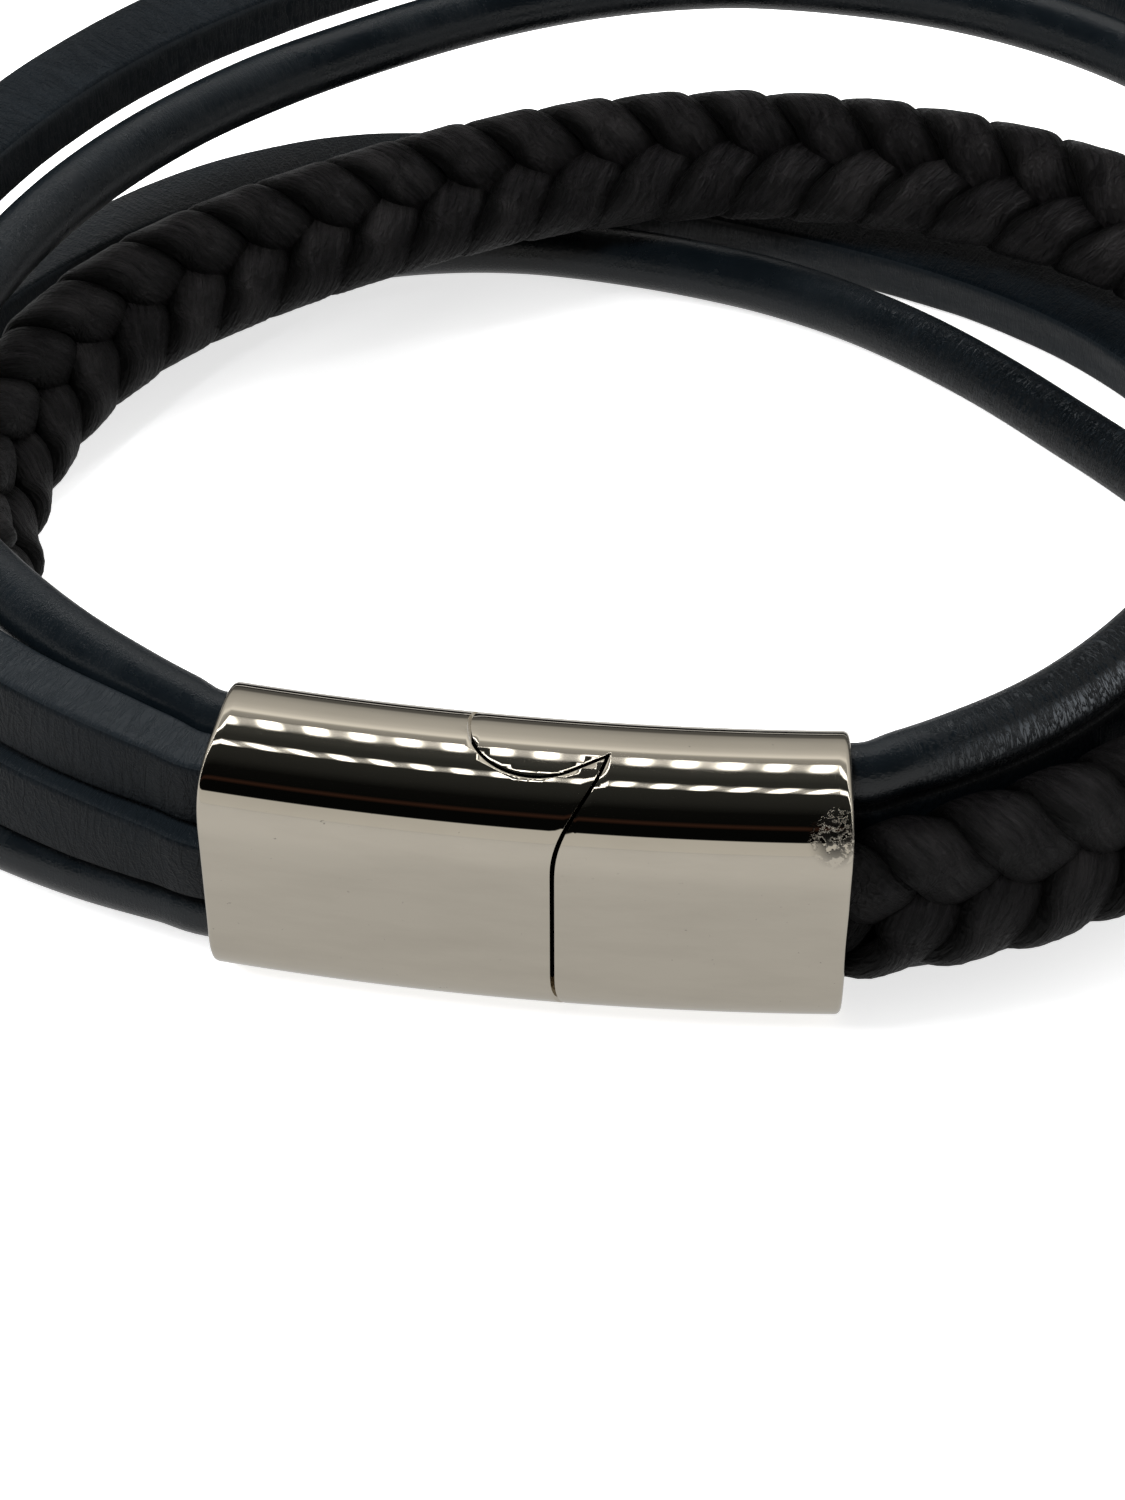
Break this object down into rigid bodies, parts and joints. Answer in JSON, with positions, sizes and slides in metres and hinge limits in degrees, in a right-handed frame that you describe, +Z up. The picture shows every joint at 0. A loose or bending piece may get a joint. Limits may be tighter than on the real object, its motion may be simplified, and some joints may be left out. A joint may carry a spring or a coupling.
{
  "type": "leather bracelet",
  "caption": "Men's bracelet of braided, round and flat leather strands that run side by side once round the wrist into an arched steel hook clasp, lying on its edge.",
  "frame": {"origin": "middle of the bracelet's box, on the surface that it lies on", "axes": "+X along the clasp from its hook half to its tongue half, +Y from the clasp to the back of the loop, +Z up, across the width of the bracelet"},
  "size_m": [0.1016, 0.0876, 0.0204],
  "materials": {
    "steel": "mirror-polished stainless steel with faint handling marks",
    "braid_leather": "matt brown-black leather with fine grain, worn paler on the crests",
    "cord_leather": "satin black leather with fine creases",
    "strap_leather": "satin black leather, rougher along its cut edges"
  },
  "bodies": {
    "root": {"clasp_hook": "steel", "clasp_tongue": "steel", "braid_strip_1": "braid_leather", "braid_strip_2": "braid_leather", "braid_strip_3": "braid_leather", "upper_round_cord": "cord_leather", "lower_round_cord": "cord_leather", "upper_flat_strap": "strap_leather", "lower_flat_strap": "strap_leather"}
  },
  "joints": []
}
